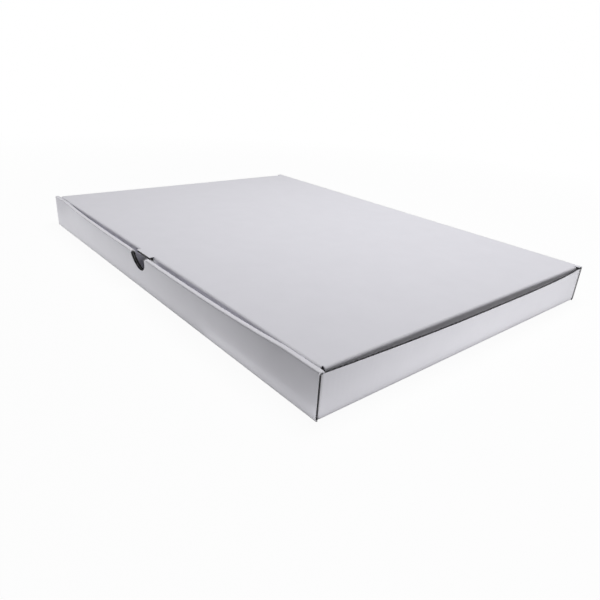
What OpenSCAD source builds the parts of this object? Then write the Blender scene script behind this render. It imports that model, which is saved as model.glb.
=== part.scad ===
// Letterbox mailer box, folded from one die-cut sheet of thin corrugated board.
// A shallow tray has a front wall that is rolled over itself, with a thumb notch, and single
// end and back walls. The lid hangs on the crease along the top of the back wall, and closes
// with a tuck flap behind the front wall and a dust flap inside each end wall.
// Millimetres. The origin is under the middle of the base, +X runs along the notched front
// wall, +Y points to the hinge and +Z up.

/* [Box] */
// Outside length, along the notched front wall
box_length = 334; // [280:1:420]
// Outside depth, from the front wall to the hinge
box_depth = 241; // [160:1:320]
// Outside height with the lid closed
box_height = 25; // [22:0.5:60]

/* [Board] */
// Thickness of the corrugated board
board = 1.4; // [1:0.1:1.8]
// Play between layers of board that lie against each other
layer_play = 0.2; // [0.1:0.05:0.3]
// Play between the closed lid and the walls around it
lid_play = 0.4; // [0.3:0.05:0.8]

/* [Front wall] */
// Outward bow of the top edge of the front wall
front_bow = 3.2; // [0:0.1:5]
// Width of the thumb notch at the top of the wall
notch_width = 19; // [16:1:36]
// Depth of the thumb notch
notch_depth = 10.5; // [6:0.5:12]
// Radius of the two top corners of the notch
notch_corner = 1.5; // [0.5:0.25:2.5]
// Distance from the middle of the wall to each locking tab
tab_offset = 95; // [85:1:110]
// Width of each locking tab
tab_width = 28; // [16:1:36]

/* [End walls] */
// Outward bow of the top edge of each end wall
end_bow = 3.2; // [0:0.1:5]
// Drop from the underside of the lid to the top edge of the end walls
end_drop = 0.2; // [0.2:0.1:3]
// Length of the ears that fold from the end walls along the front and back walls
ear_length = 24; // [12:1:40]
// Height of the ears
ear_height = 12; // [8:0.5:14]
// Fall of the top edge of each ear towards its free end
ear_fall = 2; // [0:0.5:5]

/* [Lid] */
// Depth of the tuck flap
tuck_depth = 20; // [12:0.5:20.5]
// Run-in of each end of the tuck flap towards its free edge
tuck_taper = 7; // [2:0.5:20]
// Depth of the dust flaps
dust_depth = 19; // [10:0.5:20]
// Run-in of each end of a dust flap towards its free edge
dust_taper = 11; // [2:0.5:25]
// Length of bare lid edge between a dust flap and the hinge
dust_relief = 5; // [3:0.5:15]
// Radius of the free corners of the flaps
flap_corner = 5; // [2:0.5:6]
// Width of the lip over the thumb notch
lip_width = 18; // [10:1:30]
// Reach of the lip past the face of the tuck flap
lip_reach = 2.4; // [1:0.1:4]

/* [Hidden] */
board_white = "#d9d9de";

// Faces along the stretches of the bowed walls, and around each fold and rounded corner
pinch_steps = 2;
spread_steps = 4;
bow_steps = 7;
end_steps = 20;
notch_steps = 24;
arc_steps = 5;

// Run past the surfaces that a cut goes through
overrun = 1;
// Gap that keeps the two halves of the hinge crease apart
hinge_play = 0.1;
// Powers of the bow: a wall held at its corners bows early, the slack front half of an end wall late
early_bow_power = 4;
late_bow_power = 2;

half_length = box_length / 2;
half_depth = box_depth / 2;

// Folds are pressed nearly flat inside, and round outside
crease = layer_play / 2;
fold_radius = board + crease;
fold_level = box_height - fold_radius;
lid_underside = box_height - board;
// Straight run beyond a fold, shared by the two panels that it joins
lap = board;

// Ears lie in a pocket between the two layers of the front wall, so the inner layer spreads there
ear_face = board + layer_play;
ear_spread = board + layer_play;
ear_top = board + ear_height;
wall_foot = board + layer_play;
lean_foot = wall_foot + lap;
end_top = lid_underside - end_drop;
end_front = ear_face + fold_radius;
end_run = box_depth - 2 * end_front;

// Along the front wall: bowed between the ears, pinched together at the notch
roll_depth = 2 * fold_radius;
bow_half = half_length - board - ear_length;
pinch_start = notch_width;
pinch_end = tab_offset - tab_width;
tab_face = roll_depth - board + ear_spread;

// The notch is an arc through its width and depth
notch_radius = (notch_width * notch_width / 4 + notch_depth * notch_depth) / (2 * notch_depth);
notch_level = box_height - notch_depth + notch_radius;
mouth_level = box_height - notch_corner;
mouth_drop = notch_level - mouth_level;
mouth_reach = notch_radius + notch_corner;
mouth_half = sqrt(mouth_reach * mouth_reach - mouth_drop * mouth_drop);
mouth_turn = asin(mouth_drop / mouth_reach);

// The lid fits between the end walls and behind the front wall
lid_half = half_length - board - lid_play;
panel_half = lid_half - fold_radius;
hinge_fold = half_depth - fold_radius;
tuck_fold = roll_depth + lid_play + fold_radius - half_depth;
tuck_half = panel_half - crease;
tuck_drop = tuck_depth - fold_radius;
// The tuck flap leans in parallel to the spread inner layer of the front wall
tuck_lean = ear_spread * tuck_drop / (fold_level - ear_top);
dust_front = tuck_fold + crease;
dust_back = half_depth - dust_relief;
// Beside the hinge the lid is as long as the box, so a slit frees the end of each dust flap
relief_front = dust_back + layer_play;
dust_drop = dust_depth - fold_radius;
// The lip is cut from the fold and the top of the tuck flap, so its slit is as long as its reach
lip_slit = max(lip_reach + fold_radius - fold_radius * PI / 2, layer_play);

// Share of the way from 0 to 1, easing at both ends
function eased(u) = let (share = min(max(u, 0), 1)) share * share * (3 - 2 * share);

// Share of the bow that a point at this height takes
function lift(z, top) = max(0, (z - lean_foot) / (top - lean_foot));

// Points round an arc
function arc(centre, radius, from, to, count = arc_steps) = [
    for (i = [0:count])
        let (angle = from + (to - from) * i / count)
            centre + radius * [cos(angle), sin(angle)]
];

function unit(v) = v / norm(v);

// Points round a corner between two straight edges
function corner_arc(before, corner, after, radius) =
    let (
        u = unit(before - corner),
        v = unit(after - corner),
        half = acos(u * v) / 2,
        centre = corner + unit(u + v) * radius / sin(half),
        start = corner + u * radius / tan(half) - centre,
        from = atan2(start.y, start.x),
        turn = -sign(cross(u, v)) * (180 - 2 * half)
    )
    arc(centre, radius, from, from + turn);

// A section of the board is a list of pairs of points, one on each face. This is a fold in it.
function fold(centre, from, to) =
    let (outer = arc(centre, fold_radius, from, to), inner = arc(centre, crease, from, to))
    [for (i = [0:arc_steps]) [outer[i], inner[i]]];

// Closed outline of such a section
function outline(section) = concat(
    [for (pair = section) pair[0]],
    [for (i = [len(section) - 1:-1:0]) section[i][1]]
);

// Outline of a flap that hangs below its fold: run in towards its free edge and rounded there
function flap_outline(from, to, taper, drop) =
    let (
        fold_from = [from, 0],
        fold_to = [to, 0],
        free_to = [to - taper, -drop],
        free_from = [from + taper, -drop]
    )
    concat(
        [fold_from, [from, fold_radius + overrun], [to, fold_radius + overrun], fold_to],
        corner_arc(fold_to, free_to, free_from, flap_corner),
        corner_arc(free_to, free_from, fold_from, flap_corner)
    );

// Bow of the front wall at a place along it, nothing where the ears stiffen it
function front_bow_at(x) =
    abs(x) < bow_half ? front_bow * (1 - pow(abs(x) / bow_half, early_bow_power)) : 0;

// Bow of an end wall at a share of the way along it, from -1 at the front to 1 at the back
function end_bow_at(share) =
    end_bow * (1 - pow(abs(share), share < 0 ? late_bow_power : early_bow_power));

// Fold from the base panel into a wall, as [distance in from the wall's outer face, height]
foot_section = concat(
    [[[fold_radius + lap, 0], [fold_radius + lap, board]]],
    fold([fold_radius, fold_radius], 270, 180),
    [[[0, lean_foot], [board, lean_foot]]]
);

end_section = concat(foot_section, [[[0, end_top], [board, end_top]]]);

// Up the outer layer of the front wall, over the roll and down the inner layer
function front_section(x) =
    let (
        spread = ear_spread * eased((abs(x) - pinch_start) / (pinch_end - pinch_start)),
        roll = fold([fold_radius, fold_level], 90, 0),
        inner_face = roll_depth + spread,
        outer_face = inner_face - board
    )
    concat(
        foot_section,
        fold([fold_radius, fold_level], 180, 90),
        [for (i = [1:arc_steps]) roll[i]],
        [
            for (z = [ear_top, lean_foot, wall_foot])
                [[inner_face, z], [outer_face, z]]
        ]
    );

// Places up to and with the last of a stretch, in even steps
function steps(from, to, count) = [for (i = [1:count]) from + (to - from) * i / count];

// Places of the sections along the front wall: pinched at the notch, spreading, bowed, and straight
// at the ears
front_half = concat(
    steps(0, pinch_start, pinch_steps),
    steps(pinch_start, pinch_end, spread_steps),
    steps(pinch_end, bow_half, bow_steps),
    [half_length]
);
front_places = concat(
    [for (i = [len(front_half) - 1:-1:0]) -front_half[i]],
    [0],
    front_half
);

// Places of the sections along an end wall: straight for a lap at each end, where the ears join
end_places = concat([0, lap], steps(lap, end_run - lap, end_steps), [end_run]);

// Outline of the thumb notch, rounded out into the top of the wall, as [x, z]
notch_outline = concat(
    [[-mouth_half, box_height + overrun]],
    arc([-mouth_half, mouth_level], notch_corner, 90, mouth_turn),
    arc([0, notch_level], notch_radius, mouth_turn - 180, -mouth_turn, notch_steps),
    arc([mouth_half, mouth_level], notch_corner, 180 - mouth_turn, 90),
    [[mouth_half, box_height + overrun]]
);

// Up the back wall to the middle of the hinge crease, as [y, z]
back_section = concat(
    [[[hinge_fold - lap, 0], [hinge_fold - lap, board]]],
    fold([hinge_fold, fold_radius], 270, 360),
    fold([hinge_fold, fold_level], 0, 45)
);

// The lid from the middle of the hinge crease to a place in front of it, as [y, z]
function lid_section(front) = concat(
    fold([hinge_fold - hinge_play, fold_level], 45, 90),
    [[[front, box_height], [front, lid_underside]]]
);

// From an end wall round its upright fold, in plan from the middle of the fold
corner_section = concat([[[fold_radius, lap], [crease, lap]]], fold([0, 0], 360, 270));
ear_section = concat(corner_section, [[[-ear_length, -fold_radius], [-ear_length, -crease]]]);
// The part of the upright fold that goes on down past the end of the base
corner_foot = [for (i = [1:arc_steps - 1]) corner_section[i]];

// A sheet of board through a row of like sections, with their points in space
module sheet_loft(stations) {
    pairs = len(stations[0]);
    row = 2 * pairs;
    last = len(stations) - 1;
    outer_edges = [for (k = [0:pairs - 2]) [2 * k, 2 * k + 2]];
    inner_edges = [for (k = [0:pairs - 2]) [2 * k + 3, 2 * k + 1]];
    edges = concat(outer_edges, inner_edges, [[row - 2, row - 1], [1, 0]]);
    polyhedron(
        points = [for (station = stations) for (pair = station) each pair],
        faces = concat(
            [for (k = [0:pairs - 2]) [2 * k + 1, 2 * k + 3, 2 * k + 2, 2 * k]],
            [
                for (i = [0:last - 1])
                    for (edge = edges)
                        let (a = i * row + edge[0], b = i * row + edge[1])
                            each [[a, b + row, a + row], [a, b, b + row]]
            ],
            [
                for (k = [0:pairs - 2])
                    let (a = last * row + 2 * k)
                        [a, a + 2, a + 3, a + 1]
            ]
        )
    );
}

// Runs a [y, z] outline along X, centred
module along_x(length) {
    rotate([90, 0, 90])
        linear_extrude(length, center = true)
            children();
}

// Runs an [x, z] outline along Y, centred
module along_y(length) {
    rotate([90, 0, 0])
        linear_extrude(length, center = true)
            children();
}

// Draws its children at both ends of the box
module both_ends() {
    for (side = [0, 1])
        mirror([side, 0, 0])
            children();
}

module base_panel() {
    difference() {
        translate([fold_radius - half_length, fold_radius - half_depth, 0])
            cube([box_length - 2 * fold_radius, box_depth - 2 * fold_radius, board]);
        both_ends()
            translate([
                tab_offset - tab_width / 2 - layer_play,
                tab_face - layer_play - half_depth,
                -overrun
            ])
                cube([tab_width + 2 * layer_play, board + 2 * layer_play, board + 2 * overrun]);
    }
}

// Outer layer, roll and inner layer, bowed outwards along the top, with the notch through both layers
module front_wall() {
    difference() {
        sheet_loft([
            for (x = front_places)
                let (bow = front_bow_at(x))
                    [
                        for (pair = front_section(x))
                            [for (p = pair) [x, p.x - half_depth - bow * lift(p.y, box_height), p.y]]
                    ]
        ]);
        translate([0, -half_depth, 0])
            along_y(2 * (roll_depth + front_bow + overrun))
                polygon(notch_outline);
        // The inner layer stops short of the end walls, under the roll
        both_ends()
            translate([lid_half, fold_radius - half_depth, -overrun])
                cube([half_length - lid_half + overrun, roll_depth + ear_spread, fold_level + overrun]);
    }
    both_ends()
        translate([tab_offset - tab_width / 2, tab_face - half_depth, layer_play])
            cube([tab_width, board, lean_foot - layer_play]);
}

module back_wall() {
    difference() {
        along_x(box_length)
            polygon(outline(back_section));
        // The base panel stops short of the corner
        both_ends()
            translate([half_length - fold_radius, hinge_fold - lap - overrun, -overrun])
                cube([fold_radius + overrun, lap + overrun, board + 2 * overrun]);
    }
}

// The front ear of the +X end wall, and the upright fold that carries it
module ear() {
    ear_outline = concat(
        [[fold_radius + overrun, wall_foot], [fold_radius + overrun, ear_top], [0, ear_top]],
        corner_arc(
            [0, ear_top], [-ear_length, ear_top - ear_fall], [-ear_length, wall_foot], flap_corner
        ),
        [[-ear_length, wall_foot]]
    );
    translate([half_length - fold_radius, end_front - half_depth, 0]) {
        translate([0, 0, wall_foot])
            linear_extrude(end_top - wall_foot)
                polygon(outline(corner_section));
        translate([0, 0, layer_play])
            linear_extrude(lean_foot - layer_play)
                polygon(outline(corner_foot));
        intersection() {
            linear_extrude(end_top)
                polygon(outline(ear_section));
            along_y(2 * (fold_radius + lap + overrun))
                polygon(ear_outline);
        }
    }
}

// The +X end wall with its two ears
module end_wall() {
    bow_run = end_run - 2 * lap;
    sheet_loft([
        for (place = end_places)
            let (share = min(max(2 * (place - lap) / bow_run - 1, -1), 1), bow = end_bow_at(share))
                [
                    for (pair = end_section)
                        [
                            for (p = pair)
                                [
                                    half_length - p.x + bow * lift(p.y, end_top),
                                    end_front - half_depth + place,
                                    p.y
                                ]
                        ]
                ]
    ]);
    for (side = [0, 1])
        mirror([0, side, 0])
            ear();
}

module tray() {
    color(board_white) {
        base_panel();
        front_wall();
        back_wall();
        both_ends()
            end_wall();
    }
}

// A flap along X with the middle of its fold at the origin, hanging from a panel on its +Y side
module flap(from, to, taper, drop, lean) {
    section = concat(
        [[[lap, fold_radius], [lap, crease]]],
        fold([0, 0], 90, 180),
        [[[lean - fold_radius, -drop], [lean - crease, -drop]]]
    );
    intersection() {
        translate([(from + to) / 2, 0, 0])
            along_x(to - from)
                polygon(outline(section));
        along_y(2 * (fold_radius + lap + lean + overrun))
            polygon(flap_outline(from, to, taper, drop));
    }
}

// The tuck flap, with the slit that the lip is cut out of, and the lip
module tuck_flap() {
    translate([0, tuck_fold, fold_level])
        difference() {
            flap(-tuck_half, tuck_half, tuck_taper, tuck_drop, tuck_lean);
            translate([-lip_width / 2, -fold_radius - overrun, -lip_slit])
                cube([lip_width, roll_depth + overrun, lip_slit + fold_radius + overrun]);
        }
    translate([-lip_width / 2, tuck_fold - fold_radius - lip_reach, lid_underside])
        cube([lip_width, lip_reach + roll_depth + lap, board]);
}

module lid() {
    color(board_white) {
        along_x(2 * panel_half)
            polygon(outline(lid_section(tuck_fold)));
        along_x(box_length)
            polygon(outline(lid_section(relief_front)));
        tuck_flap();
        both_ends()
            translate([panel_half, 0, fold_level])
                rotate([0, 0, 90])
                    flap(dust_front, dust_back, dust_taper, dust_drop, 0);
    }
}

tray();
lid();
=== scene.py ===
"""A letterbox mailer box folded from thin corrugated board, built layer by layer on its solids.

The outer and inner liners follow every panel, fold, notch and flap, the fluting runs between them
and shows at the cut edges, and a crease strip joins the lid to the tray. Lengths are in metres, in
the frame of the solids: X along the notched front wall, Y towards the hinge, Z up.
"""

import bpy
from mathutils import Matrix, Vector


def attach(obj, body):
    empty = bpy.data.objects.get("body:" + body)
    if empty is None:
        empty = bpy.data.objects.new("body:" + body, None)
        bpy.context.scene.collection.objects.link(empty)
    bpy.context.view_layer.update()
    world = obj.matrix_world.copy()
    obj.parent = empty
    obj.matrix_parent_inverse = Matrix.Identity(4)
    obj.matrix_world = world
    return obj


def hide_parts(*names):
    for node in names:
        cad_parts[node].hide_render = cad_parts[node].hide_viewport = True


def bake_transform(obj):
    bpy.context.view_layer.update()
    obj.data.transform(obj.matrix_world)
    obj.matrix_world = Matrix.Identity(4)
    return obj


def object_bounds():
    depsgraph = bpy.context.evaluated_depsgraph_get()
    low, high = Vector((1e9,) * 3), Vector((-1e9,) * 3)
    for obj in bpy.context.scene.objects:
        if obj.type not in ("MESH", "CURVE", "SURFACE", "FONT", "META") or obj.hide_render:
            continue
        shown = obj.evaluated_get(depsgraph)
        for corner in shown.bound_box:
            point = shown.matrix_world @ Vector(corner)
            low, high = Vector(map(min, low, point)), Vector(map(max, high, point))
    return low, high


bl_info = {
    "name": "Letterbox mailer box",
    "version": (1, 0, 0),
    "blender": (4, 5, 0),
    "location": "View3D > Sidebar > Mailer box",
    "description": "Builds a shallow die-cut mailer box from its liners and fluting",
    "category": "Add Mesh",
}

import math

import bpy
from bpy.props import FloatProperty, FloatVectorProperty, PointerProperty
from mathutils import Matrix, Vector

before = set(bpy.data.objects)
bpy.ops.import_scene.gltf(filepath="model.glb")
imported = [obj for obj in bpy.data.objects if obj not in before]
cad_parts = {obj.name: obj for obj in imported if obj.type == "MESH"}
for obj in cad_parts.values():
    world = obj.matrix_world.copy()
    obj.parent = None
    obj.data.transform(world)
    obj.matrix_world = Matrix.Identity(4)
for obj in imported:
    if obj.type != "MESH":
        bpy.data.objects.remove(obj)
CAD_LOW, CAD_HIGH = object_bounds()

MM = 0.001
# Points closer than this are one point
WELD = 0.0005 * MM
# Bow of the end walls, which the solids' longest side includes on both ends
END_BOW = 3.2 * MM


def linear(hex_code):
    """Linear red, green and blue of an sRGB hex colour, by the curve of the sRGB standard."""
    channels = [int(hex_code[k:k + 2], 16) / 255 for k in (1, 3, 5)]
    return tuple(c / 12.92 if c <= 0.04045 else ((c + 0.055) / 1.055) ** 2.4 for c in channels)


def number(name, description, default, **kind):
    """A number in the sidebar."""
    return FloatProperty(name=name, description=description, default=default, **kind)


def length(name, description, default):
    """A length in the sidebar."""
    return number(name, description, default, min=0.0, precision=5, unit="LENGTH")


def triple(name, description, default, **kind):
    """A colour or a place in the sidebar."""
    return FloatVectorProperty(name=name, description=description, default=default, size=3, **kind)


def colour(name, description, hex_code):
    """A colour in the sidebar."""
    return triple(name, description, linear(hex_code), min=0.0, max=1.0, subtype="COLOR")


class BoxSizes(bpy.types.PropertyGroup):
    """Sizes of the folded box."""

    length: length("Length", "Outside length along the front wall", 2 * (CAD_HIGH.x - END_BOW))
    depth: length("Depth", "Outside depth from the front wall to the hinge", 2 * CAD_HIGH.y)
    height: length("Height", "Outside height with the lid closed", CAD_HIGH.z)
    board: length("Board", "Thickness of the corrugated board", 1.4 * MM)
    liner: length("Liner", "Thickness of each liner", 0.22 * MM)
    medium: length("Fluting paper", "Thickness of the fluting paper", 0.16 * MM)
    flute_pitch: length("Flute pitch", "Distance from flute to flute", 3.2 * MM)
    layer_play: length("Layer play", "Play between layers that lie together", 0.2 * MM)
    lid_play: length("Lid play", "Play between the lid and the walls", 0.4 * MM)
    front_bow: length("Front bow", "Outward bow of the front wall's top edge", 3.2 * MM)
    end_bow: length("End bow", "Outward bow of each end wall's top edge", END_BOW)
    end_drop: length("End drop", "Drop from the lid to the end walls", 0.2 * MM)
    notch_width: length("Notch width", "Width of the thumb notch", 19 * MM)
    notch_depth: length("Notch depth", "Depth of the thumb notch", 10.5 * MM)
    notch_corner: length("Notch corner", "Radius of the notch's top corners", 1.5 * MM)
    tab_offset: length("Tab offset", "Distance from the middle to a locking tab", 95 * MM)
    tab_width: length("Tab width", "Width of each locking tab", 28 * MM)
    ear_length: length("Ear length", "Length of the ears of the end walls", 24 * MM)
    ear_height: length("Ear height", "Height of the ears", 12 * MM)
    ear_fall: length("Ear fall", "Fall of an ear's top edge", 2 * MM)
    tuck_depth: length("Tuck depth", "Depth of the tuck flap", 20 * MM)
    tuck_taper: length("Tuck taper", "Run-in of the tuck flap's ends", 7 * MM)
    dust_depth: length("Dust flap depth", "Depth of the dust flaps", 19 * MM)
    dust_taper: length("Dust flap taper", "Run-in of a dust flap's ends", 11 * MM)
    dust_relief: length("Dust flap relief", "Bare lid edge beside the hinge", 5 * MM)
    flap_corner: length("Flap corner", "Radius of the flaps' free corners", 5 * MM)
    lip_width: length("Lip width", "Width of the lip over the notch", 18 * MM)
    lip_reach: length("Lip reach", "Reach of the lip past the tuck flap", 2.4 * MM)
    hinge_play: length("Hinge play", "Gap between the two halves of the hinge crease", 0.1 * MM)


class BoardColours(bpy.types.PropertyGroup):
    """Colours of the papers in the board."""

    coat: colour("Coated white", "Clay coat of the outside", "#DEDDE4")
    coat_pale: colour("Coated white, pale", "Where the coat lies thicker", "#E4E3EA")
    # Cracked coat along the creases, lighter than the coat: partly real wear, partly a painted highlight on
    # the folds
    worn: colour("Worn crease", "Cracked coat along the creases", "#F0EFF4")
    inside: colour("Inside white", "Uncoated white liner of the inside", "#D6D5D4")
    inside_fleck: colour("Inside fleck", "Fibre flecks of the inside", "#C6C5C4")
    # Greys of the fluting, partly the recycled paper's own colour and partly painted shade of the hollows
    # between the liners
    flute: colour("Fluting", "Grey recycled paper between the liners", "#7A797C")
    flute_dark: colour("Fluting, dark", "Dark fibres of the recycled paper", "#4A494C")


class StageSettings(bpy.types.PropertyGroup):
    """Camera, light and floor."""

    eye: triple(
        "Camera", "Place of the camera", (0.2992, -0.24995, 0.1395), subtype="TRANSLATION"
    )
    aim: triple(
        "Aim", "Point that the camera looks at", (0.095, -0.0702, 0.0178), subtype="TRANSLATION"
    )
    roll: number(
        "Roll", "Turn of the camera about its line of sight", math.radians(3.85), subtype="ANGLE"
    )
    lens: number("Lens", "Focal length on a 36 mm frame", 31.73, unit="CAMERA")
    sky: number("Sky", "Strength of the light from all round", 0.03)
    floor: colour("Floor", "White studio floor as it is seen", "#F6F6F7")
    floor_bounce: colour("Floor bounce", "Floor as it lights the walls from below", "#727274")
    floor_glow: number(
        "Floor glow", "Share of plain white in the floor near the box", 0.95, subtype="FACTOR"
    )
    glow_start: length("Glow start", "Distance from the middle where the floor starts to whiten", 0.2)
    glow_end: length("Glow end", "Distance from the middle where the floor is plain white", 0.7)


# Powers of a wall's bow along its top: one that stays full to near the ends, and one that falls evenly
FULL_BOW, EVEN_BOW = 4, 2


class Shape:
    """Lengths and curves that follow from the box's sizes."""

    def __init__(self, sizes):
        for name in BoxSizes.__annotations__:
            setattr(self, name, getattr(sizes, name))
        self.half_length = self.length / 2
        self.half_depth = self.depth / 2
        self.crease = self.layer_play / 2
        self.fold_radius = self.board + self.crease
        self.fold_level = self.height - self.fold_radius
        self.lid_underside = self.height - self.board
        layer = self.board + self.layer_play
        self.ear_top = self.board + self.ear_height
        self.wall_foot = layer
        self.lean_foot = self.wall_foot + self.board
        self.end_top = self.lid_underside - self.end_drop
        self.end_front = layer + self.fold_radius
        self.roll_depth = 2 * self.fold_radius
        self.spread = layer
        self.bow_half = self.half_length - self.board - self.ear_length
        self.pinch_start = self.notch_width
        self.pinch_end = self.tab_offset - self.tab_width
        tab_face = self.roll_depth - self.board + self.spread
        self.base_half = self.half_length - self.fold_radius
        self.hinge_fold = self.half_depth - self.fold_radius
        self.slot_near = self.tab_offset - self.tab_width / 2 - self.layer_play
        self.slot_far = self.tab_offset + self.tab_width / 2 + self.layer_play
        self.slot_front = tab_face - self.layer_play - self.half_depth
        self.slot_back = self.slot_front + self.board + 2 * self.layer_play
        half_notch = self.notch_width / 2
        self.notch_radius = (half_notch ** 2 + self.notch_depth ** 2) / (2 * self.notch_depth)
        self.notch_level = self.height - self.notch_depth + self.notch_radius
        self.mouth_level = self.height - self.notch_corner
        drop = self.notch_level - self.mouth_level
        reach = self.notch_radius + self.notch_corner
        self.mouth_half = math.sqrt(reach ** 2 - drop ** 2)
        self.mouth_tangent = self.notch_level - drop * self.notch_radius / reach
        self.lid_half = self.half_length - self.board - self.lid_play
        self.panel_half = self.lid_half - self.fold_radius
        self.tuck_fold = self.roll_depth + self.lid_play + self.fold_radius - self.half_depth
        self.tuck_half = self.panel_half - self.crease
        self.tuck_drop = self.tuck_depth - self.fold_radius
        self.tuck_lean = self.spread * self.tuck_drop / (self.fold_level - self.ear_top)
        self.dust_front = self.tuck_fold + self.crease
        self.dust_back = self.half_depth - self.dust_relief
        self.relief_front = self.dust_back + self.layer_play
        self.dust_drop = self.dust_depth - self.fold_radius
        self.lip_half = self.lip_width / 2
        self.lip_slit = max(self.lip_reach + self.fold_radius * (1 - math.pi / 2), self.layer_play)
        self.flute_depth = (self.board - 2 * self.liner - self.medium) / 2
        self.liner_share = self.liner / self.board
        self.crushed_share = (self.board - self.medium) / 2 / self.board

    def notch_half(self, z):
        """Half the width of the thumb notch at a height."""
        if z >= self.mouth_tangent:
            rise = min(z, self.height) - self.mouth_level
            return self.mouth_half - math.sqrt(max(self.notch_corner ** 2 - rise ** 2, 0))
        return math.sqrt(max(self.notch_radius ** 2 - (self.notch_level - z) ** 2, 0))

    def lift(self, z, top):
        """Share of a wall's bow that a point at this height takes."""
        return max(0, (z - self.lean_foot) / (top - self.lean_foot))

    def front_point(self, x, point, inside):
        """Place of a section point of the front wall, inside being 1 on its inner layer."""
        d, z = point
        bow = self.front_bow * max(0, 1 - (abs(x) / self.bow_half) ** FULL_BOW)
        pinch = (abs(x) - self.pinch_start) / (self.pinch_end - self.pinch_start)
        drop = (self.fold_level - z) / (self.fold_level - self.ear_top)
        spread = inside * self.spread * eased(pinch) * min(max(drop, 0), 1)
        return Vector((x, d + spread - self.half_depth - bow * self.lift(z, self.height), z))

    def end_point(self, side, y, point):
        """Place of a section point of an end wall."""
        e, z = point
        run = self.half_depth - self.end_front - self.board
        share = min(max(y / run, -1), 1)
        bow = self.end_bow * (1 - abs(share) ** (EVEN_BOW if share < 0 else FULL_BOW))
        return Vector((side * (self.half_length - e + bow * self.lift(z, self.end_top)), y, z))


def eased(u):
    """Share from 0 to 1, easing at both ends."""
    u = min(max(u, 0), 1)
    return u * u * (3 - 2 * u)


def spaced(start, stop, count):
    """Evenly spaced values, both ends included."""
    return [start + (stop - start) * k / count for k in range(count + 1)]


def mirrored(values):
    """Values from 0 up, on both sides of 0."""
    return [-v for v in values[:0:-1]] + values


def merged(*lists):
    """Sorted values of several lists, each once."""
    values = []
    for value in sorted(v for some in lists for v in some):
        if not values or value - values[-1] > WELD:
            values.append(value)
    return values


def interpolated(u, points):
    """Second value of an outline at a first value, along its straight pieces."""
    ordered = sorted(tuple(p) for p in points)
    u = min(max(u, ordered[0][0]), ordered[-1][0])
    for (u0, v0), (u1, v1) in zip(ordered, ordered[1:]):
        if u <= u1 + WELD:
            return v1 if u1 - u0 < WELD else v0 + (v1 - v0) * (u - u0) / (u1 - u0)


# Faces round a quarter turn of a fold, and round a flap's corner
FOLD_STEPS = 10
CORNER_STEPS = 10
# Powers of a fold's section: a round fold, and one that is pressed flat on two sides
ROUND, PRESSED = 2, 5
# Share of a step by which rows may lie further apart before one more goes between them
STEP_SLACK = 0.001


def arc(centre, radius, start, stop, steps):
    """Points round an arc, by angles in degrees."""
    angles = [math.radians(a) for a in spaced(start, stop, steps)]
    return [(centre[0] + radius * math.cos(a), centre[1] + radius * math.sin(a)) for a in angles]


def corner_arc(before, corner, after, radius):
    """Points round a rounded corner between two straight edges."""
    corner = Vector(corner)
    u = (Vector(before) - corner).normalized()
    v = (Vector(after) - corner).normalized()
    half = u.angle(v) / 2
    centre = corner + (u + v).normalized() * radius / math.sin(half)
    start = corner + u * radius / math.tan(half) - centre
    angle = math.degrees(math.atan2(start.y, start.x))
    turn = math.copysign(180 - 2 * math.degrees(half), -u.cross(v))
    return arc(centre, radius, angle, angle + turn, CORNER_STEPS)


def fold(box, centre, start, stop, power=ROUND):
    """Pairs of section points, outer and inner, round a fold, the squarer the higher the power."""
    pairs = []
    for u, v in arc((0, 0), 1, start, stop, round(FOLD_STEPS * abs(stop - start) / 90)):
        reach = box.fold_radius / (abs(u) ** power + abs(v) ** power) ** (1 / power)
        pairs.append(tuple((centre[0] + r * u, centre[1] + r * v) for r in (reach, box.crease)))
    return pairs


class Row:
    """A pair of section points: its crease, its layer and its distance across the flutes."""

    def __init__(self, outer, inner, crease=0.0, inside=0.0, across=0.0):
        self.outer = outer
        self.inner = inner
        self.crease = crease
        self.inside = inside
        self.across = across

    def placed(self, place, across=None):
        """The pair for a sheet, each of its points put in place by a function."""
        across = self.across if across is None else across
        return place(self.outer), place(self.inner), across, self.crease


def creased(pairs):
    """Rows round a fold, most creased in the middle of it."""
    last = len(pairs) - 1
    return [Row(o, i, math.sin(math.pi * k / last)) for k, (o, i) in enumerate(pairs)]


def measured(rows, start, direction):
    """Gives each row its distance across the flutes, measured along the middle of the board."""
    middles = [(Vector(row.outer) + Vector(row.inner)) / 2 for row in rows]
    rows[0].across = start
    for k in range(1, len(rows)):
        rows[k].across = rows[k - 1].across + direction * (middles[k] - middles[k - 1]).length
    return rows


def refined(rows, step):
    """Rows with more between them, so that none lie further apart than step across the flutes."""
    result = rows[:1]
    for low, high in zip(rows, rows[1:]):
        count = max(1, math.ceil(abs(high.across - low.across) / step - STEP_SLACK))
        for k in range(1, count + 1):
            t = k / count
            result.append(Row(
                Vector(low.outer).lerp(Vector(high.outer), t),
                Vector(low.inner).lerp(Vector(high.inner), t),
                low.crease + (high.crease - low.crease) * t,
                high.inside,
                low.across + (high.across - low.across) * t,
            ))
    return result


# The board is quite flat where this many times its crease is 1 or more
CRUSH = 2


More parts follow.
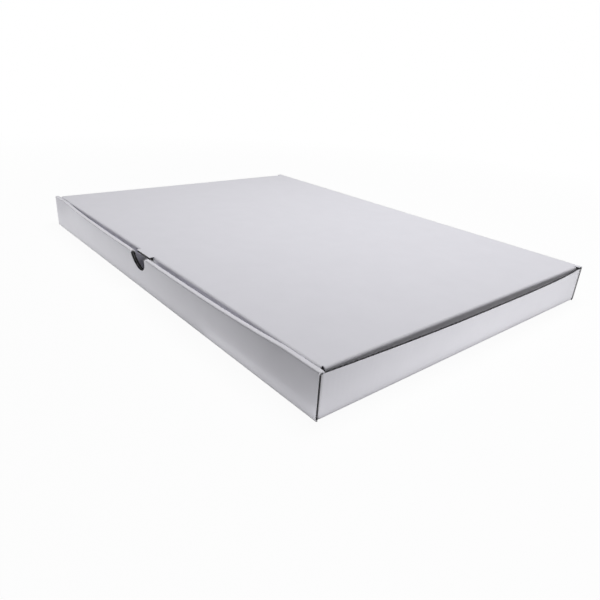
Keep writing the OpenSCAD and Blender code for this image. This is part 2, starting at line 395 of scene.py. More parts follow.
class Sheet:
    """A sheet of board as pairs of points, one on each face, joined into cells."""

    def __init__(self):
        self.outer, self.inner, self.across, self.crease = [], [], [], []
        self.cells, self.found = [], {}

    def corner(self, outer, inner, across, crease):
        """Index of a pair of points, which panels share where they meet."""
        key = tuple(round(c / WELD) for c in (*outer, *inner))
        if key not in self.found:
            self.found[key] = len(self.outer)
            self.outer.append(Vector(outer))
            self.inner.append(Vector(inner))
            self.across.append(across)
            self.crease.append(crease)
        return self.found[key]

    def panel(self, rows, hole=None):
        """Joins rows of pairs into cells that face outwards, leaving out those in a hole."""
        marks = [[self.corner(*pair) for pair in row] for row in rows]
        cells = []
        for low, high in zip(marks, marks[1:]):
            for k in range(len(low) - 1):
                cell = list(dict.fromkeys((low[k], low[k + 1], high[k + 1], high[k])))
                if len(cell) > 2 and not (hole and hole(self.middle(cell))):
                    cells.append(cell)
        if sum(self.facing(cell) for cell in cells) < 0:
            cells = [cell[::-1] for cell in cells]
        self.cells += cells

    def panel_along_x(self, rows, xs, hole=None):
        """A panel that runs straight along X through its section rows."""
        self.panel([[row.placed(lambda p: Vector((x, *p))) for x in xs] for row in rows], hole)

    def middle(self, cell):
        """Middle of a cell on the outer face."""
        return sum((self.outer[k] for k in cell), Vector()) / len(cell)

    def facing(self, cell):
        """Area of a cell, below zero where it faces the inside."""
        a, b, c = (self.outer[k] for k in cell[:3])
        through = self.outer[cell[0]] - self.inner[cell[0]]
        return (b - a).cross(c - a).dot(through.normalized())

    def crushed(self):
        """Share by which the board is crushed at each pair."""
        return [eased(CRUSH * crease) for crease in self.crease]


# Spacing of the liners' rows, and fluting rows to a pitch
LINER_STEP = 6 * MM
FLUTE_ROWS = 8
# Steps along the front wall beside its notch
NOTCH_SIDE_STEPS = 8
# Steps along the rest of half the tray, and along half the lid, for the liners and for the fluting
TRAY_LINER_STEPS, TRAY_FLUTE_STEPS = 26, 12
LID_LINER_STEPS, LID_FLUTE_STEPS = 24, 3
# Steps up the notch, up the front wall below it, up each half of an end wall, and out along a flap
NOTCH_STEPS, FOOT_STEPS, END_STEPS, FLAP_STEPS = 16, 3, 2, 3
# How far round the upright fold at a corner its foot goes on down past the end of the base
CORNER_FOOT_SHARE = 0.6


def step_across(box, fluted):
    """Spacing of a sheet's rows across the flutes."""
    return box.flute_pitch / FLUTE_ROWS if fluted else LINER_STEP


def front_rows(box):
    """Section of the front wall: up the outer layer, over the roll and down the inner layer."""
    turn = math.degrees(math.acos((box.notch_level - box.fold_level) / box.notch_radius))
    angles = [math.radians(a) for a in spaced(0, turn, NOTCH_STEPS)]
    notch = [box.notch_level - box.notch_radius * math.cos(a) for a in angles]
    levels = merged(spaced(box.lean_foot, box.ear_top, FOOT_STEPS), notch)
    r = box.fold_radius
    roll = fold(box, (r, box.fold_level), 180, 0, PRESSED)
    outer = creased(fold(box, (r, r), 270, 180))
    outer += [Row((0, z), (box.board, z)) for z in levels[:-1]]
    outer += creased(roll)
    inner = creased(roll)[-1:]
    face = box.roll_depth
    inner += [Row((face, z), (face - box.board, z), 0, 1) for z in levels[-2::-1] + [box.wall_foot]]
    tab = inner[-1:] + [Row((face, box.layer_play), (face - box.board, box.layer_play), 0, 1)]
    measured(outer, r - box.half_depth, -1)
    measured(inner, outer[-1].across, -1)
    measured(tab, inner[-1].across, -1)
    return outer, inner, tab


def notch_stations(box, z, along, end):
    """Places along the front wall on one side of the notch at a height, out to an end."""
    near = spaced(box.notch_half(z), box.notch_width, NOTCH_SIDE_STEPS)
    return near + [x for x in along if box.notch_width + WELD < x < end + WELD]


def add_front_wall(sheet, box, step, along):
    """Outer layer, roll, inner layer and locking tabs, bowed out along the top."""
    outer, inner, tab = (refined(rows, step) for rows in front_rows(box))
    tab_xs = [x for x in along if abs(x - box.tab_offset) < box.tab_width / 2 + WELD]
    for side in (1, -1):
        for rows, end in ((outer, box.half_length), (inner, box.lid_half)):
            wall = []
            for row in rows:
                stations = [notch_stations(box, p[1], along, end) for p in (row.outer, row.inner)]
                wall.append([
                    (
                        box.front_point(side * xo, row.outer, row.inside),
                        box.front_point(side * xi, row.inner, row.inside),
                        row.across, row.crease,
                    )
                    for xo, xi in zip(*stations)
                ])
            sheet.panel(wall)
        sheet.panel([
            [row.placed(lambda p: box.front_point(side * x, p, row.inside)) for x in tab_xs]
            for row in tab
        ])


def add_base(sheet, box, base_along, ys):
    """Base panel with the two slots that take the locking tabs."""
    xs = mirrored([x for x in base_along if x < box.base_half + WELD])

    def in_slot(p):
        """Whether a place is in one of the slots."""
        return box.slot_near < abs(p.x) < box.slot_far and box.slot_front < p.y < box.slot_back

    rows = [Row((y, 0), (y, box.board), across=y) for y in ys]
    sheet.panel_along_x(rows, xs, in_slot)


def add_back_wall(sheet, box, step, base_along):
    """Back wall up to the middle of the hinge crease."""
    rows = creased(fold(box, (box.hinge_fold, box.fold_radius), 270, 360))
    rows += creased(fold(box, (box.hinge_fold, box.fold_level), 0, 90))[:FOLD_STEPS // 2 + 1]
    rows = refined(measured(rows, box.hinge_fold, 1), step)
    sheet.panel_along_x(rows, mirrored(base_along))
    return rows[-2:]


def add_end_wall(sheet, box, step, side, ys):
    """End wall with its foot fold, and an ear at each of its upright ends."""
    r = box.fold_radius
    front = box.end_front - box.half_depth
    upright = merged(
        [box.wall_foot],
        spaced(box.lean_foot, box.ear_top, END_STEPS),
        spaced(box.ear_top, box.end_top, END_STEPS),
    )
    foot = creased(fold(box, (r, r), 270, 180))
    rows = foot + [Row((0, z), (box.board, z)) for z in upright]
    sheet.panel([
        [row.placed(lambda p: box.end_point(side, y, p), y) for row in rows]
        for y in ys if abs(y) < abs(front) + WELD
    ])
    ear_levels = [z for z in upright if z < box.ear_top + WELD]
    free = (-box.ear_length, box.ear_top - box.ear_fall)
    edge = corner_arc((0, box.ear_top), free, (free[0], 0), box.flap_corner)
    corner_rows = creased(fold(box, (0, 0), 360, 270))
    ear_rows = corner_rows[-1:] + [Row((u, -r), (u, -box.crease)) for u, top in edge]
    measured(corner_rows, front, -1)
    measured(ear_rows, corner_rows[-1].across, -1)
    ear_rows = refined(ear_rows, step)
    corner = refined(corner_rows, step)
    rounded = refined(corner_rows[:round(FOLD_STEPS * CORNER_FOOT_SHARE) + 1], step)
    for end in (1, -1):
        def spot(p, z):
            """Place of a point of the upright fold's section at a height."""
            return Vector((side * (box.base_half + p[0]), end * (front + p[1]), z))

        def upright_pair(row, z):
            """A pair of the upright fold or the ear at a height."""
            return row.placed(lambda p: spot(p, z), end * row.across)

        def foot_pair(row, low):
            """A pair of the foot fold, turned with the upright fold."""
            points = [spot(Vector(row.outer) * (1 - e / r), z) for e, z in (low.outer, low.inner)]
            return (*points, end * row.across, max(row.crease, low.crease))

        sheet.panel([[upright_pair(row, z) for z in upright] for row in corner])
        sheet.panel([[foot_pair(row, low) for low in rows[:len(foot) + 1]] for row in rounded])
        ear = []
        for row in ear_rows:
            top = interpolated(row.outer[0], [(0, box.ear_top)] + edge)
            share = (top - box.wall_foot) / (box.ear_top - box.wall_foot)
            levels = [box.wall_foot + (z - box.wall_foot) * share for z in ear_levels]
            ear.append([upright_pair(row, z) for z in levels])
        sheet.panel(ear)


def flap_edge(box, start, stop, taper, drop):
    """Free edge of a flap, as distances along its fold and below it."""
    low, high = (start + taper, -drop), (stop - taper, -drop)
    near = corner_arc((start, 0), low, high, box.flap_corner)
    far = corner_arc(low, high, (stop, 0), box.flap_corner)
    return [(start, 0), *near, *far, (stop, 0)]


def flat_rows(box, ys):
    """Section of the lid where it lies flat."""
    return [Row((y, box.height), (y, box.lid_underside), across=y) for y in ys]


def add_lid_panel(sheet, box, step, along, ys):
    """Lid panel from the tuck fold to the middle of the hinge crease."""
    rows = flat_rows(box, ys)
    hinge = creased(fold(box, (box.hinge_fold - box.hinge_play, box.fold_level), 90, 0))
    hinge = refined(measured(hinge[:FOLD_STEPS // 2 + 1], ys[-1], 1), step)
    relief = [row for row in rows if row.across > box.relief_front - WELD]
    sheet.panel_along_x(rows, mirrored(along))
    sheet.panel_along_x(hinge, mirrored(along))
    for side in (1, -1):
        ends = [side * box.panel_half, side * box.half_length]
        sheet.panel_along_x(relief, ends)
        sheet.panel_along_x(hinge, ends)
    return hinge[-2:]


def add_tuck_flap(sheet, box, step, along):
    """Tuck flap with its slit, and the lip that the slit frees."""
    edge = flap_edge(box, -box.tuck_half, box.tuck_half, box.tuck_taper, box.tuck_drop)
    half_edge = [(z, u) for u, z in edge if u > 0]
    bend = creased(fold(box, (0, 0), 90, 180))
    hang = bend[-1:]
    for drop in merged([-z for z, u in half_edge], [box.lip_slit])[1:]:
        lean = box.tuck_lean * drop / box.tuck_drop
        hang.append(Row((lean - box.fold_radius, -drop), (lean - box.crease, -drop)))
    measured(bend, box.tuck_fold, -1)
    measured(hang, bend[-1].across, -1)
    bend, hang = refined(bend, step), refined(hang, step)
    origin = Vector((box.tuck_fold, box.fold_level))
    stations = [x for x in along if box.lip_half - WELD < x < box.tuck_half + WELD]
    lip_xs = (-box.lip_half, 0, box.lip_half)

    def hung(row, x):
        """A pair of the flap's section at a place along its fold."""
        return row.placed(lambda p: Vector((x, *(origin + Vector(p)))))

    for side in (1, -1):
        sheet.panel([[hung(row, side * x) for x in stations] for row in bend])
        rows = []
        for row in hang:
            end = interpolated(row.outer[1], half_edge)
            grow = (end - box.lip_half) / (box.tuck_half - box.lip_half)
            rows.append([hung(row, side * (box.lip_half + (x - box.lip_half) * grow)) for x in stations])
        sheet.panel(rows)
    below = [row for row in hang if row.outer[1] < WELD - box.lip_slit]
    sheet.panel([[hung(row, x) for x in lip_xs] for row in below])
    reach = spaced(box.tuck_fold, box.tuck_fold - box.fold_radius - box.lip_reach, FLAP_STEPS)
    sheet.panel_along_x(refined(flat_rows(box, reach), step), lip_xs)


def add_dust_flap(sheet, box, side, ys):
    """Dust flap that hangs from one end of the lid panel."""
    edge = flap_edge(box, box.dust_front, box.dust_back, box.dust_taper, box.dust_drop)
    bend = creased(fold(box, (0, 0), 90, 0))
    rows = []
    for y in ys:
        if box.dust_front - WELD < y < box.dust_back + WELD:
            def hung(p):
                """Place of a point of the flap's section."""
                return Vector((side * (box.panel_half + p[0]), y, box.fold_level + p[1]))

            levels = spaced(0, interpolated(y, edge), FLAP_STEPS)[1:]
            hang = [Row((box.fold_radius, z), (box.crease, z)) for z in levels]
            rows.append([row.placed(hung, y) for row in bend + hang])
    sheet.panel(rows)


def tray_sheet(box, fluted):
    """The tray's board, divided for its liners or for its fluting."""
    sheet = Sheet()
    cuts = [
        box.slot_near, box.tab_offset - box.tab_width / 2, box.tab_offset + box.tab_width / 2,
        box.slot_far, box.panel_half, box.lid_half, box.base_half, box.half_length,
    ]
    steps = TRAY_FLUTE_STEPS if fluted else TRAY_LINER_STEPS
    along = merged([0], spaced(box.notch_width, box.panel_half, steps), cuts)
    near = spaced(0, box.notch_width, NOTCH_SIDE_STEPS)
    base_along = merged([0], cuts) if fluted else merged(near, along)
    step = step_across(box, fluted)
    front = box.end_front - box.half_depth
    edge = box.fold_radius - box.half_depth
    ys = merged(
        spaced(front, -front, math.ceil(-2 * front / step)),
        [edge, -edge, front + box.board, -front - box.board, box.slot_front, box.slot_back],
    )
    add_front_wall(sheet, box, step, along)
    add_base(sheet, box, base_along, ys)
    hinge = add_back_wall(sheet, box, step, base_along)
    for side in (1, -1):
        add_end_wall(sheet, box, step, side, ys)
    return sheet, hinge


def lid_sheet(box, fluted):
    """The lid's board, divided for its liners or for its fluting."""
    sheet = Sheet()
    steps = LID_FLUTE_STEPS if fluted else LID_LINER_STEPS
    along = merged([0], spaced(box.lip_half, box.tuck_half, steps), [box.panel_half])
    step = step_across(box, fluted)
    hinge_fold = box.hinge_fold - box.hinge_play
    edge = flap_edge(box, box.dust_front, box.dust_back, box.dust_taper, box.dust_drop)
    count = math.ceil((hinge_fold - box.tuck_fold) / step)
    ys = merged(spaced(box.tuck_fold, hinge_fold, count), [y for y, drop in edge], [box.relief_front])
    hinge = add_lid_panel(sheet, box, step, along, ys)
    add_tuck_flap(sheet, box, step, along)
    for side in (1, -1):
        add_dust_flap(sheet, box, side, ys)
    return sheet, hinge


def linked(name, data):
    """A new object in the scene."""
    obj = bpy.data.objects.new(name, data)
    bpy.context.scene.collection.objects.link(obj)
    return obj


def mesh_object(name, points, faces, materials=(), **values):
    """A mesh object in the scene, with its materials and named values for its points."""
    mesh = bpy.data.meshes.new(name)
    mesh.from_pydata(points, [], faces)
    for material in materials:
        mesh.materials.append(material)
    for attribute, numbers in values.items():
        mesh.attributes.new(attribute, "FLOAT", "POINT").data.foreach_set("value", numbers)
    return linked(name, mesh)


# Finishes of a board's faces, in the order of its material slots
COAT, INSIDE, FLUTING = 0, 1, 2
# Faces that meet at more than this angle meet in a sharp edge
SHARP_ANGLE = math.radians(38)


class Layers:
    """Mesh data of paper layers, gathered into one object."""

    def __init__(self):
        self.points, self.across, self.crease = [], [], []
        self.faces, self.finish = [], []

    def add(self, sheet, near, far, front, back, edge):
        """Adds a layer between two depths, with a finish for each side and for its flat cut edges.

        A depth is a pair of shares of the board's thickness: where it is flat, and in a crease.
        The cut edges of a crushed crease have the finish of the front.
        """
        start, count = len(self.points), len(sheet.outer)
        crushed = sheet.crushed()
        for flat, deep in (near, far):
            self.points += [
                o.lerp(i, flat + (deep - flat) * c) for o, i, c in zip(sheet.outer, sheet.inner, crushed)
            ]
            self.across += sheet.across
            self.crease += sheet.crease
        edges = {}
        for cell in sheet.cells:
            for a, b in zip(cell, cell[1:] + cell[:1]):
                edges[a, b] = True
        rim = [(b, a, a + count, b + count) for a, b in edges if (b, a) not in edges]
        under = [[k + count for k in cell[::-1]] for cell in sheet.cells]
        self.faces += [[start + k for k in cell] for cell in (*sheet.cells, *under, *rim)]
        self.finish += [front] * len(sheet.cells) + [back] * len(under)
        self.finish += [front if crushed[a] + crushed[b] > 1 else edge for b, a, c, d in rim]

    def made(self, name, materials):
        """The layers as a mesh object."""
        obj = mesh_object(
            name, self.points, self.faces, materials, across=self.across, crease=self.crease
        )
        obj.data.polygons.foreach_set("material_index", self.finish)
        obj.data.shade_smooth()
        obj.data.set_sharp_from_angle(angle=SHARP_ANGLE)
        obj.data.update()
        return obj


def crease_web(box, rows, half):
    """Paper that closes the board at the middle of the hinge crease."""
    before, last = rows
    sheet = Sheet()
    outer, inner = Vector(last.outer), Vector(last.inner)
    depth = (Vector(before.outer) - outer).normalized() * box.liner
    faces = [outer.lerp(inner, box.liner_share), outer.lerp(inner, 1 - box.liner_share)]
    sheet.panel([
        [(Vector((x, *p)), Vector((x, *(p + depth))), last.across, 1.0) for x in (-half, half)]
        for p in faces
    ])
    return sheet


def board_object(name, box, sheet, hinge):
    """Both liners of a folded board as one object."""
    flat, deep = box.liner_share, box.crushed_share
    layers = Layers()
    # The liners' faces towards the flutes and the inner liner's cut edges take the dark fluting paper,
    # which partly paints the shade in the hollows of the board
    layers.add(sheet, (0, 0), (flat, deep), COAT, FLUTING, COAT)
    layers.add(sheet, (1 - flat, 1 - deep), (1, 1), FLUTING, INSIDE, FLUTING)
    layers.add(crease_web(box, hinge, box.half_length), (0, 0), (1, 1), INSIDE, INSIDE, INSIDE)
    papers = (coated_white_liner, uncoated_white_liner, grey_recycled_fluting)
    return layers.made(name, [painted(paper) for paper in papers])


def add_node(tree, kind, inputs=(), **settings):
    """Adds a node with its settings, sets or links its inputs, and gives its outputs."""
    node = tree.nodes.new(kind)
    for name, value in settings.items():
        setattr(node, name, value)
    for socket, value in dict(inputs).items():
        if isinstance(value, list):
            for link in value:
                tree.links.new(link, node.inputs[socket])
        elif isinstance(value, bpy.types.NodeSocket):
            tree.links.new(value, node.inputs[socket])
        else:
            node.inputs[socket].default_value = value
    return node.outputs


# Sockets of a Mix node for the two colours that it mixes and for the colour that comes out
MIX_A, MIX_B, MIX_OUT = 6, 7, 2


def painted(paint):
    """The material that a function paints, named after it and made when it is first asked for."""
    material = bpy.data.materials.get(paint.__name__)
    if material is None:
        material = bpy.data.materials.new(paint.__name__)
        material.use_nodes = True
        tree = material.node_tree
        tree.nodes.clear()
        add_node(tree, "ShaderNodeOutputMaterial", {"Surface": paint(tree)})
    return material


def rgba(colour_value):
    """A colour with full alpha."""
    return (*colour_value, 1.0)


def coated_white_liner(tree):
    """White top liner, clay coated and calendered.

    Cool, even and faintly silky, with soft mottling where the coat varies, the fine tooth of the
    fibres, a trace of the flutes beneath, and a dull, cracked coat along the creases, painted lighter than
    the rest of the coat as a highlight on the folds.
    """
    colours = bpy.context.scene.mailer_colours
    pitch = bpy.context.scene.mailer_sizes.flute_pitch
    place = add_node(tree, "ShaderNodeTexCoord")["Object"]
    # Clouds of coat about 14 mm across
    clouds = add_node(
        tree, "ShaderNodeTexNoise",
        {"Vector": place, "Scale": 1 / (14 * MM), "Detail": 5.0, "Roughness": 0.6},
    )["Fac"]
    tone = add_node(
        tree, "ShaderNodeMix",
        {0: clouds, MIX_A: rgba(colours.coat), MIX_B: rgba(colours.coat_pale)}, data_type="RGBA",
    )[MIX_OUT]
    # Cracks in the coat, 0.5 mm apart in life, drawn at 0.9 mm so that they show
    cracks = add_node(
        tree, "ShaderNodeTexNoise", {"Vector": place, "Scale": 1 / (0.9 * MM), "Detail": 3.0}
    )["Fac"]
    # Along the creases a lighter colour is mixed in with the cracks, which paints a highlight on the folds
    # as well as the wear
    crease = add_node(tree, "ShaderNodeAttribute", attribute_name="crease")["Fac"]
    worn = add_node(tree, "ShaderNodeMath", {0: cracks, 1: crease}, operation="MULTIPLY")[0]
    tone = add_node(
        tree, "ShaderNodeMix", {0: worn, MIX_A: tone, MIX_B: rgba(colours.worn)}, data_type="RGBA"
    )[MIX_OUT]
    rough = add_node(
        tree, "ShaderNodeMapRange", {"Value": worn, "From Max": 0.6, "To Min": 0.46, "To Max": 0.7}
    )[0]
    # Fibres about 0.3 mm long in life, drawn at 0.6 mm so that they show
    fibres = add_node(
        tree, "ShaderNodeTexNoise", {"Vector": place, "Scale": 1 / (0.6 * MM), "Detail": 4.0}
    )["Fac"]
    across = add_node(tree, "ShaderNodeAttribute", attribute_name="across")["Fac"]
    turn = add_node(tree, "ShaderNodeMath", {0: across, 1: 2 * math.pi / pitch}, operation="MULTIPLY")[0]
    wave = add_node(tree, "ShaderNodeMath", {0: turn}, operation="SINE")[0]
    flutes = add_node(
        tree, "ShaderNodeBump", {"Height": wave, "Strength": 0.35, "Distance": 0.012 * MM}
    )["Normal"]
    normal = add_node(
        tree, "ShaderNodeBump",
        {"Height": fibres, "Strength": 0.25, "Distance": 0.03 * MM, "Normal": flutes},
    )["Normal"]
    return add_node(tree, "ShaderNodeBsdfPrincipled", {
        "Base Color": tone, "Roughness": rough, "Normal": normal, "IOR": 1.5, "Specular IOR Level": 0.4,
    })[0]


def uncoated_white_liner(tree):
    """White inner liner, uncoated.

    Duller and a little warmer than the outside, matt, with short grey fibre flecks.
    """
    colours = bpy.context.scene.mailer_colours
    return bare_paper(
        tree, (colours.inside, colours.inside_fleck), fibre=1.5 * MM, detail=0.7, mix=(0.5, 0.8),
        tooth=0.04 * MM, rough=0.85, gloss=0.3,
    )


def grey_recycled_fluting(tree):
    """Fluting of grey recycled paper.

    Matt and dark, with mixed fibres: the recycled paper's own grey, darkened further as painted shade of
    the hollows between the flutes, so that a cut edge reads as a dark line between two liners.
    """
    colours = bpy.context.scene.mailer_colours
    return bare_paper(
        tree, (colours.flute, colours.flute_dark), fibre=0.8 * MM, detail=0.65, mix=(0, 1),
        tooth=0.03 * MM, rough=0.9, gloss=0.2,
    )


def bare_paper(tree, tones, fibre, detail, mix, tooth, rough, gloss):
    """Shader of an uncoated paper, from its plain tone to the tone of its fibres.

    Fibre is the size of the fibre clumps and detail how rough their noise is. The tone changes
    between the two levels of the noise in mix, and tooth is the height of the clumps.
    """
    place = add_node(tree, "ShaderNodeTexCoord")["Object"]
    fibres = add_node(
        tree, "ShaderNodeTexNoise",
        {"Vector": place, "Scale": 1 / fibre, "Detail": 4.0, "Roughness": detail},
    )["Fac"]
    share = add_node(
        tree, "ShaderNodeMapRange", {"Value": fibres, "From Min": mix[0], "From Max": mix[1]}
    )[0]
    tone = add_node(
        tree, "ShaderNodeMix",
        {0: share, MIX_A: rgba(tones[0]), MIX_B: rgba(tones[1])}, data_type="RGBA",
    )[MIX_OUT]
    normal = add_node(tree, "ShaderNodeBump", {"Height": fibres, "Strength": 0.4, "Distance": tooth})[0]
    return add_node(tree, "ShaderNodeBsdfPrincipled", {
        "Base Color": tone, "Roughness": rough, "Normal": normal, "IOR": 1.5, "Specular IOR Level": gloss,
    })[0]


def flute_tree():
    """Geometry nodes that wave a flat middle sheet into fluting and give it its paper's thickness."""
    name = "fluting"
    tree = bpy.data.node_groups.get(name)
    if tree:
        return tree
    tree = bpy.data.node_groups.new(name, "GeometryNodeTree")
    for socket, kind in (
        ("Geometry", "NodeSocketGeometry"), ("Flute Pitch", "NodeSocketFloat"),
        ("Flute Depth", "NodeSocketFloat"), ("Paper Thickness", "NodeSocketFloat"),
        ("Fluting Material", "NodeSocketMaterial"),
    ):
        tree.interface.new_socket(name=socket, in_out="INPUT", socket_type=kind)
    tree.interface.new_socket(name="Geometry", in_out="OUTPUT", socket_type="NodeSocketGeometry")
    given = add_node(tree, "NodeGroupInput")
    across, crushed, through = (
        add_node(tree, "GeometryNodeInputNamedAttribute", {"Name": value}, data_type=kind)[0]
        for value, kind in (("across", "FLOAT"), ("crushed", "FLOAT"), ("through", "FLOAT_VECTOR"))
    )
    turns = add_node(tree, "ShaderNodeMath", {0: across, 1: given["Flute Pitch"]}, operation="DIVIDE")[0]
    angle = add_node(tree, "ShaderNodeMath", {0: turns, 1: 2 * math.pi}, operation="MULTIPLY")[0]
    wave = add_node(tree, "ShaderNodeMath", {0: angle}, operation="SINE")[0]
    depth = add_node(
        tree, "ShaderNodeMapRange", {"Value": crushed, "To Min": given["Flute Depth"], "To Max": 0.0}
    )[0]
    rise = add_node(tree, "ShaderNodeMath", {0: wave, 1: depth}, operation="MULTIPLY")[0]
    half = add_node(
        tree, "ShaderNodeMath", {0: given["Paper Thickness"], 1: 0.5}, operation="MULTIPLY"
    )[0]
    low = add_node(tree, "ShaderNodeMath", {0: rise, 1: half}, operation="SUBTRACT")[0]
    shift = add_node(tree, "ShaderNodeVectorMath", {0: through, "Scale": low}, operation="SCALE")[0]
    waved = add_node(tree, "GeometryNodeSetPosition", {0: given["Geometry"], "Offset": shift})[0]
    raised = add_node(
        tree, "GeometryNodeExtrudeMesh",
        {"Mesh": waved, "Offset Scale": given["Paper Thickness"], "Individual": False}, mode="FACES",
    )["Mesh"]
    under = add_node(tree, "GeometryNodeFlipFaces", {"Mesh": waved})[0]
    both = add_node(tree, "GeometryNodeJoinGeometry", {0: [raised, under]})[0]
    closed = add_node(tree, "GeometryNodeMergeByDistance", {"Geometry": both, "Distance": WELD})[0]
    smooth = add_node(tree, "GeometryNodeSetShadeSmooth", {0: closed, "Shade Smooth": True})[0]
    real = add_node(tree, "GeometryNodeRealizeInstances", {0: smooth})[0]
    covered = {0: real, "Material": given["Fluting Material"]}
    add_node(tree, "NodeGroupOutput", {0: add_node(tree, "GeometryNodeSetMaterial", covered)[0]})
    return tree


def fluting_object(name, box, sheet):
    """Fluting of a folded board, waved by geometry nodes and then made a plain mesh."""
    middle = [o.lerp(i, 0.5) for o, i in zip(sheet.outer, sheet.inner)]
    obj = mesh_object(name, middle, sheet.cells, across=sheet.across, crushed=sheet.crushed())
    flat = obj.data
    through = [c for o, i in zip(sheet.outer, sheet.inner) for c in (o - i).normalized()]
    flat.attributes.new("through", "FLOAT_VECTOR", "POINT").data.foreach_set("vector", through)
    tree = flute_tree()
    values = {
        "Flute Pitch": box.flute_pitch,
        "Flute Depth": box.flute_depth,
        "Paper Thickness": box.medium,
        "Fluting Material": painted(grey_recycled_fluting),
    }
    modifier = obj.modifiers.new(name, "NODES")
    modifier.node_group = tree
    for item in tree.interface.items_tree:
        if item.in_out == "INPUT" and item.name in values:
            modifier[item.identifier] = values[item.name]
    graph = bpy.context.evaluated_depsgraph_get()
    waved = bpy.data.meshes.new_from_object(obj.evaluated_get(graph))
    obj.modifiers.remove(modifier)
    obj.data = waved
    bpy.data.meshes.remove(flat)
    waved.name = name
    return obj


SHEETS = {"tray": tray_sheet, "lid": lid_sheet}


class MAILER_OT_boards(bpy.types.Operator):
    """Builds the liners of the tray and of the lid, with all their panels, folds and flaps"""

    bl_idname = "mailer.boards"
    bl_label = "Boards"

    def execute(self, context):
        box = Shape(context.scene.mailer_sizes)
        for body, folded in SHEETS.items():
            piece = board_object(f"{body}_board", box, *folded(box, fluted=False))
            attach(piece, body)
            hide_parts(body)
        return {"FINISHED"}


class MAILER_OT_fluting(bpy.types.Operator):
    """Builds the fluting between the liners of the tray and of the lid"""

    bl_idname = "mailer.fluting"
    bl_label = "Fluting"

    def execute(self, context):
        box = Shape(context.scene.mailer_sizes)
        for body, folded in SHEETS.items():
            sheet, hinge = folded(box, fluted=True)
            piece = fluting_object(f"{body}_fluting", box, sheet)
            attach(piece, body)
        return {"FINISHED"}


# Where the crease strip starts and ends round the hinge fold, and where it bends, in degrees
STRIP_ANGLES = (20, 70)
# Steps round the strip and along it, and how far it stands out over the liners that it joins
STRIP_TURN_STEPS, STRIP_LENGTH_STEPS = 20, 8
STRIP_PROUD = 0.03 * MM


class MAILER_OT_hinge_crease(bpy.types.Operator):
    """Builds the strip of outer liner that bends between the back wall and the lid"""

    bl_idname = "mailer.hinge_crease"
    bl_label = "Hinge crease"

    def execute(self, context):
        box = Shape(context.scene.mailer_sizes)
        middle = (box.hinge_fold - box.hinge_play / 2, box.fold_level)
        outer, inner = (
            arc(middle, radius, *STRIP_ANGLES, STRIP_TURN_STEPS)
            for radius in (box.fold_radius + STRIP_PROUD, box.fold_radius - box.liner / 2)
        )
        rows = measured(creased(list(zip(outer, inner))), box.hinge_fold, 1)
        sheet = Sheet()
        sheet.panel_along_x(rows, spaced(-box.half_length, box.half_length, STRIP_LENGTH_STEPS))
        layers = Layers()
        layers.add(sheet, (0, 0), (1, 1), COAT, INSIDE, INSIDE)
        piece = layers.made("hinge_crease", [painted(coated_white_liner), painted(uncoated_white_liner)])
        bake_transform(piece)
        return {"FINISHED"}


def seen_rays(tree):
    """1 for what the camera sees, straight or in a reflection, and 0 for what lights the box."""
    path = add_node(tree, "ShaderNodeLightPath")
    seen = path["Is Camera Ray"]
    for ray in ("Is Glossy Ray", "Is Transmission Ray"):
        seen = add_node(tree, "ShaderNodeMath", {0: seen, 1: path[ray]}, operation="MAXIMUM")[0]
    return seen


def studio_floor(tree):
    """White studio floor.

    Matt, with the box's soft shadow near it, and plain white further off, so that it has no horizon.
    """
    stage = bpy.context.scene.mailer_stage
    place = add_node(tree, "ShaderNodeTexCoord")["Object"]
    away = add_node(tree, "ShaderNodeVectorMath", {0: place}, operation="LENGTH")["Value"]
    share = add_node(tree, "ShaderNodeMapRange", {
        "Value": away, "From Min": stage.glow_start, "From Max": stage.glow_end, "To Min": stage.floor_glow,
    })[0]
    paint = add_node(tree, "ShaderNodeBsdfDiffuse", {"Color": rgba(stage.floor)})[0]
    white = add_node(tree, "ShaderNodeEmission")[0]
    seen = add_node(tree, "ShaderNodeMixShader", {0: share, 1: paint, 2: white})[0]
    bounce = add_node(tree, "ShaderNodeBsdfDiffuse", {"Color": rgba(stage.floor_bounce)})[0]
    return add_node(tree, "ShaderNodeMixShader", {0: seen_rays(tree), 1: bounce, 2: seen})[0]


# Half the floor's side, and its level, just under the base so that the two don't coincide
FLOOR_HALF = 4.0
FLOOR_LEVEL = -0.05 * MM
# Place, aim, width and depth, and watts of each lamp
LAMPS = {
    "overhead": ((0.04, 0.1, 0.6), (0.04, 0.0999, 0), (0.3, 0.4), 3.11),
    "right_card": ((0.65, 0.2, 0.06), (0.17, 0.1, 0.012), (0.3, 0.12), 0.4),
    "left_card": ((-0.45, -0.45, 0.1), (-0.15, -0.12, 0.012), (0.3, 0.15), 0.78),
}
# Place, width and depth, and watts of the bright patches of the floor that light the walls from below
BOUNCES = {
    "right_bounce": ((0.288, 0.03), (0.24, 0.36), 0.258),
    "end_foot_bounce": ((0.188, -0.04), (0.04, 0.16), 0.0016),
    "front_bounce": ((-0.12, -0.2415), (0.3, 0.2), 0.036),
    "front_foot_bounce": ((-0.01, -0.1415), (0.38, 0.04), 0.0295),
    "corner_foot_bounce": ((0.125, -0.1285), (0.1, 0.014), 0.0012),
    "back_bounce": ((0.0, 0.3615), (0.32, 0.48), 0.34),
    "left_bounce": ((-0.288, 0.15), (0.24, 0.53), 0.36),
}
BOUNCE_LEVEL = 0.5 * MM
# Width of the camera's frame in millimetres, and the nearest that it sees
FRAME_WIDTH = 36.0
NEAREST = 0.01


def add_light(name, place, turn, size, watts):
    """A soft lamp, with its width and depth, that the camera doesn't see."""
    lamp = bpy.data.lights.new(name, "AREA")
    lamp.shape = "RECTANGLE"
    lamp.size, lamp.size_y = size
    lamp.energy = watts
    obj = linked(name, lamp)
    obj.location = place
    obj.rotation_euler = turn
    obj.visible_camera = False


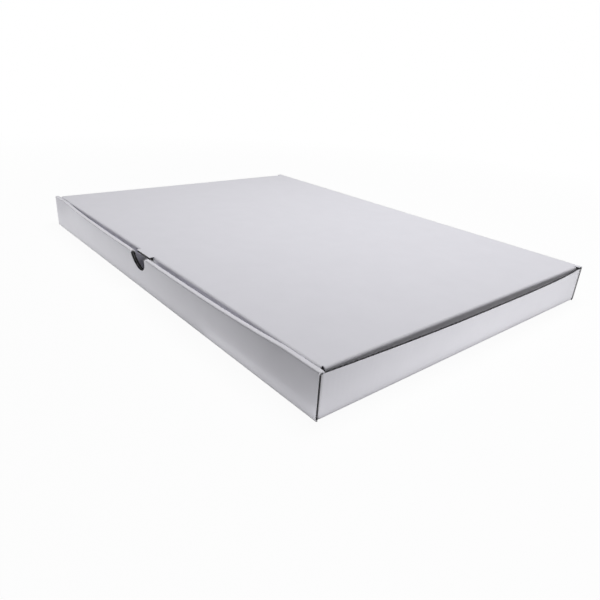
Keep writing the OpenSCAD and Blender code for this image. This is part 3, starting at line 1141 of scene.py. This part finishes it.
class MAILER_OT_stage(bpy.types.Operator):
    """Builds the floor, the sky, the lamps and the camera"""

    bl_idname = "mailer.stage"
    bl_label = "Stage"

    def execute(self, context):
        scene = context.scene
        stage = scene.mailer_stage
        scene.view_settings.view_transform = "Standard"

        corners = ((-1, -1), (1, -1), (1, 1), (-1, 1))
        points = [(x * FLOOR_HALF, y * FLOOR_HALF, FLOOR_LEVEL) for x, y in corners]
        floor = mesh_object("floor", points, [(0, 1, 2, 3)], [painted(studio_floor)])

        world = bpy.data.worlds.new("studio")
        world.use_nodes = True
        tree = world.node_tree
        tree.nodes.clear()
        strength = add_node(
            tree, "ShaderNodeMapRange", {"Value": seen_rays(tree), "To Min": stage.sky}
        )[0]
        sky = add_node(tree, "ShaderNodeBackground", {"Color": rgba((1, 1, 1)), "Strength": strength})[0]
        add_node(tree, "ShaderNodeOutputWorld", {"Surface": sky})
        scene.world = world

        for name, (place, aim, size, watts) in LAMPS.items():
            turn = (Vector(aim) - Vector(place)).to_track_quat("-Z", "Y").to_euler()
            add_light(name, place, turn, size, watts)
        for name, (place, size, watts) in BOUNCES.items():
            add_light(name, (*place, BOUNCE_LEVEL), (math.pi, 0, 0), size, watts)

        camera = bpy.data.cameras.new("camera")
        camera.lens = stage.lens
        camera.sensor_width = FRAME_WIDTH
        camera.clip_start = NEAREST
        view = linked("camera", camera)
        view.location = stage.eye
        sight = (Vector(stage.aim) - Vector(stage.eye)).to_track_quat("-Z", "Y")
        view.rotation_euler = (sight.to_matrix() @ Matrix.Rotation(stage.roll, 3, "Z")).to_euler()
        scene.camera = view
        return {"FINISHED"}


class MAILER_PT_sidebar(bpy.types.Panel):
    """Sizes, colours and building steps of the mailer box"""

    bl_idname = "MAILER_PT_sidebar"
    bl_label = "Mailer box"
    bl_space_type = "VIEW_3D"
    bl_region_type = "UI"
    bl_category = "Mailer box"

    def draw(self, context):
        for step in STEPS:
            self.layout.operator(step.bl_idname)
        for group in GROUPS:
            values = getattr(context.scene, group)
            column = self.layout.column(align=True)
            for name in type(values).__annotations__:
                column.prop(values, name)


STEPS = (MAILER_OT_stage, MAILER_OT_boards, MAILER_OT_fluting, MAILER_OT_hinge_crease)
GROUPS = {"mailer_sizes": BoxSizes, "mailer_colours": BoardColours, "mailer_stage": StageSettings}
CLASSES = (*GROUPS.values(), *STEPS, MAILER_PT_sidebar)


def register():
    """Registers the classes and hangs the settings on the scene."""
    for cls in CLASSES:
        bpy.utils.register_class(cls)
    for name, group in GROUPS.items():
        setattr(bpy.types.Scene, name, PointerProperty(type=group))


def unregister():
    """Takes the settings and the classes away."""
    for name in GROUPS:
        delattr(bpy.types.Scene, name)
    for cls in reversed(CLASSES):
        bpy.utils.unregister_class(cls)


def main():
    """Builds the stage and the box."""
    register()
    bpy.ops.mailer.stage()
    bpy.ops.mailer.boards()
    bpy.ops.mailer.fluting()
    bpy.ops.mailer.hinge_crease()


if __name__ == "__main__":
    main()
